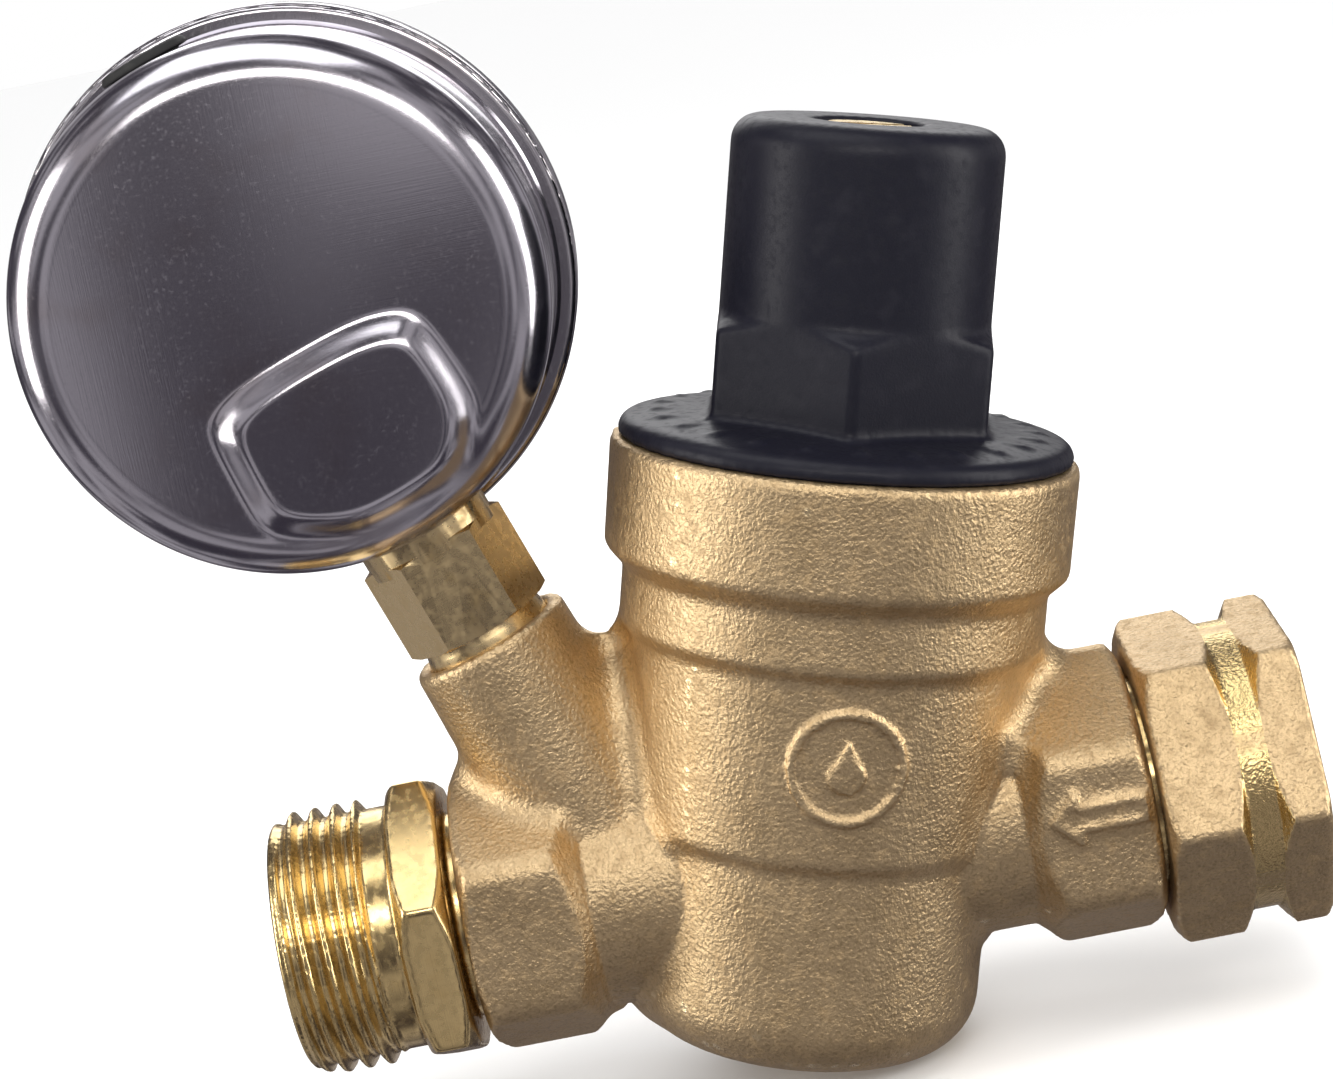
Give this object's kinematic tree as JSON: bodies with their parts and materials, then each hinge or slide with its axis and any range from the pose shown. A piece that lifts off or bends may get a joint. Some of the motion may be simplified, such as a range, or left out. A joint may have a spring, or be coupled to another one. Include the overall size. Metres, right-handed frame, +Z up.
{
  "type": "water pressure regulator",
  "caption": "Adjustable hose pressure regulator: forged brass body, angled bonnet with a slotted screw, rear-facing dial gauge, swivel inlet nut and threaded outlet.",
  "frame": {"origin": "on the pipe axis 0.5 mm inside the open mouth of the inlet swivel nut", "axes": "+X along the pipe axis towards the water supply, +Z up towards the bonnet and gauge, +Y out of the dial's glass"},
  "size_m": [0.1185, 0.0466, 0.1153],
  "materials": {
    "forged_brass": "forged and blasted, matte",
    "machined_brass": "machined, satin",
    "nut_brass": "forged flats with turned grip groove",
    "screw_brass": "machined, slightly dulled",
    "socket_brass": "machined, satin",
    "tube_bronze": "drawn bronze",
    "navy_plastic": "glass-filled, satin",
    "acetal": "smooth white acetal",
    "black_rubber": "moulded rubber",
    "plated_steel": "zinc plated",
    "spring_steel": "oiled spring wire",
    "screen_steel": "pressed stainless",
    "polished_steel": "polished stainless with fine scratches",
    "bezel_steel": "polished stainless",
    "clear_lens": "clear",
    "dial_white": "printed white",
    "pointer_black": "matt black"
  },
  "bodies": {
    "housing": {"valve_body": "forged_brass", "outlet_adapter": "machined_brass", "inlet_tailpiece": "machined_brass", "hose_washer": "black_rubber", "inlet_screen": "screen_steel", "bonnet": "navy_plastic", "bonnet_insert": "machined_brass", "main_spring": "spring_steel", "seat_insert": "machined_brass", "gauge_socket": "socket_brass", "gauge_case": "polished_steel", "vent_plug": "black_rubber", "gauge_bezel": "bezel_steel", "gauge_lens": "clear_lens", "lens_gasket": "black_rubber", "gauge_dial": "dial_white", "dial_screws": "plated_steel", "movement_frame": "machined_brass", "movement_screws": "plated_steel", "bourdon_tube": "tube_bronze"},
    "swivel_nut": {"swivel_nut": "nut_brass"},
    "spring_plate": {"spring_plate": "plated_steel"},
    "adjusting_screw": {"adjusting_screw": "screw_brass"},
    "piston": {"piston": "acetal", "piston_ring": "black_rubber", "disc_holder": "machined_brass", "seat_disc": "black_rubber", "disc_nut": "machined_brass"},
    "pointer": {"gauge_pointer": "pointer_black", "pointer_arbor": "machined_brass"},
    "sector": {"sector_gear": "machined_brass"},
    "link": {"tube_link": "machined_brass"}
  },
  "joints": [
    {"name": "inlet_swivel", "type": "hinge", "parent": "housing", "child": "swivel_nut", "pos_m": [0, 0, 0], "axis": [1, 0, 0], "continuous": true},
    {"name": "plate_slide", "type": "slide", "parent": "housing", "child": "spring_plate", "axis": [0.2588, 0, 0.9659], "range_m": [-0.0045, 0.00075], "deforming": ["main_spring"]},
    {"name": "screw_turn", "type": "hinge", "parent": "spring_plate", "child": "adjusting_screw", "pos_m": [-0.0493, 0, 0], "axis": [0.2588, 0, 0.9659], "range_deg": [-1080, 180]},
    {"name": "piston_slide", "type": "slide", "parent": "housing", "child": "piston", "axis": [0.2588, 0, 0.9659], "range_m": [0, 0.0031], "stiffness_N_per_m": 8000, "springref_m": -0.005, "deforming": ["main_spring"]},
    {"name": "sector_swing", "type": "hinge", "parent": "housing", "child": "sector", "pos_m": [-0.0856, 0, 0.05289], "axis": [0, 1, 0], "range_deg": [0, 33.75]},
    {"name": "pointer_spin", "type": "hinge", "parent": "housing", "child": "pointer", "pos_m": [-0.08963, 0, 0.06487], "axis": [0, 1, 0], "range_deg": [-270, 0]},
    {"name": "link_pull", "type": "slide", "parent": "housing", "child": "link", "axis": [-0.319, 0, 0.9478], "range_m": [0, 0.00245]}
  ],
  "couplings": [
    {"joint": "screw_turn", "follows": "plate_slide", "rad_per_m": 4188.8},
    {"joint": "pointer_spin", "follows": "sector_swing", "ratio": -8},
    {"joint": "link_pull", "follows": "sector_swing", "m_per_rad": 0.00414}
  ]
}
